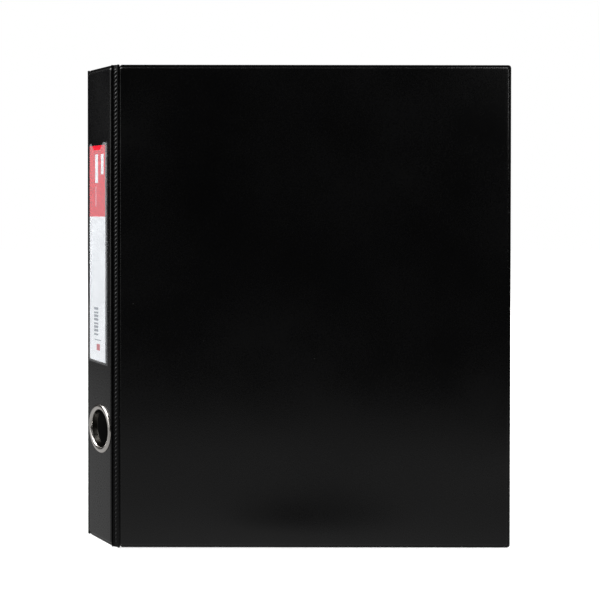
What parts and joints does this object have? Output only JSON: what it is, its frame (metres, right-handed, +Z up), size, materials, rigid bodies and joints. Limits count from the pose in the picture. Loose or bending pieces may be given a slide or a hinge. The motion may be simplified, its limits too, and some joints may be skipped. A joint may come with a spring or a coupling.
{
  "type": "ring binder",
  "caption": "A4 ring binder: vinyl-covered board covers and spine on folding hinge strips, a lever-opened D-ring mechanism inside, a finger ring and a label pocket on the spine.",
  "frame": {"origin": "centre of the standing binder's footprint, on the surface it stands on", "axes": "+Z up along the spine; the front cover's outer face looks along -Y; the spine is on the -X side"},
  "size_m": [0.2834, 0.1884, 0.318],
  "materials": {
    "black_vinyl": "black vinyl film, fine leather-like grain, satin",
    "liner_vinyl": "black vinyl lining film, fine grain, satin",
    "greyboard": "uncoated grey pulp board",
    "clear_vinyl": "clear flexible film, glossy",
    "label_card": "printed card, red head over a white field, uncoated",
    "nickel_plate": "bright nickel plate",
    "plated_steel": "zinc-plated steel, satin"
  },
  "bodies": {
    "spine": {"spine_outer_film": "black_vinyl", "spine_board": "greyboard", "spine_liner_film": "liner_vinyl", "finger_ring_eyelet": "nickel_plate", "finger_ring_washer": "plated_steel", "label_pocket_film": "clear_vinyl"},
    "front_hinge": {"front_hinge_strip": "black_vinyl"},
    "front_cover": {"front_cover_outer_film": "black_vinyl", "front_cover_board": "greyboard", "front_cover_liner_film": "liner_vinyl"},
    "back_hinge": {"back_hinge_strip": "black_vinyl"},
    "back_cover": {"back_cover_outer_film": "black_vinyl", "back_cover_board": "greyboard", "back_cover_liner_film": "liner_vinyl", "ring_casing": "nickel_plate", "rivet_post_upper": "plated_steel", "rivet_post_lower": "plated_steel", "rivet_upper": "plated_steel", "rivet_lower": "plated_steel", "lever_pin_top": "plated_steel", "lever_pin_bottom": "plated_steel"},
    "spine_side_blade": {"blade_spine_side": "plated_steel", "ring_1_spine_half": "nickel_plate", "ring_2_spine_half": "nickel_plate", "ring_3_spine_half": "nickel_plate", "ring_4_spine_half": "nickel_plate"},
    "fore_side_blade": {"blade_fore_side": "plated_steel", "ring_1_fore_half": "nickel_plate", "ring_2_fore_half": "nickel_plate", "ring_3_fore_half": "nickel_plate", "ring_4_fore_half": "nickel_plate"},
    "top_lever": {"lever_top": "nickel_plate"},
    "bottom_lever": {"lever_bottom": "nickel_plate"},
    "label": {"label_insert": "label_card"}
  },
  "joints": [
    {"name": "front_hinge_fold", "type": "hinge", "parent": "spine", "child": "front_hinge", "pos_m": [-0.1202, -0.0908, 0.159], "axis": [0, 0, -1], "range_deg": [-18, 72]},
    {"name": "front_cover_fold", "type": "hinge", "parent": "front_hinge", "child": "front_cover", "pos_m": [-0.11628, -0.0928, 0.159], "axis": [0, 0, -1], "range_deg": [-18, 72]},
    {"name": "back_hinge_fold", "type": "hinge", "parent": "spine", "child": "back_hinge", "pos_m": [-0.14107, -0.06209, 0.159], "axis": [0, 0, 1], "range_deg": [0, 90]},
    {"name": "back_cover_fold", "type": "hinge", "parent": "back_hinge", "child": "back_cover", "pos_m": [-0.14038, -0.05774, 0.159], "axis": [0, 0, 1], "range_deg": [0, 90]},
    {"name": "top_lever_swing", "type": "hinge", "parent": "back_cover", "child": "top_lever", "pos_m": [-0.11508, -0.04597, 0.2945], "axis": [-0.809, -0.5878, 0], "range_deg": [0, 26]},
    {"name": "bottom_lever_swing", "type": "hinge", "parent": "back_cover", "child": "bottom_lever", "pos_m": [-0.11508, -0.04597, 0.0235], "axis": [0.809, 0.5878, 0], "range_deg": [0, 26]},
    {"name": "spine_side_blade_tilt", "type": "hinge", "parent": "back_cover", "child": "spine_side_blade", "pos_m": [-0.12252, -0.05138, 0.159], "axis": [0, 0, -1], "range_deg": [0, 15]},
    {"name": "fore_side_blade_tilt", "type": "hinge", "parent": "back_cover", "child": "fore_side_blade", "pos_m": [-0.10763, -0.04056, 0.159], "axis": [0, 0, 1], "range_deg": [0, 15]},
    {"name": "label_slide", "type": "slide", "parent": "spine", "child": "label", "axis": [0, 0, 1], "range_m": [0, 0.148]}
  ],
  "couplings": [
    {"joint": "front_cover_fold", "follows": "front_hinge_fold", "ratio": 1},
    {"joint": "back_cover_fold", "follows": "back_hinge_fold", "ratio": 1},
    {"joint": "bottom_lever_swing", "follows": "top_lever_swing", "ratio": 1},
    {"joint": "spine_side_blade_tilt", "follows": "top_lever_swing", "ratio": 0.5769},
    {"joint": "fore_side_blade_tilt", "follows": "top_lever_swing", "ratio": 0.5769}
  ]
}
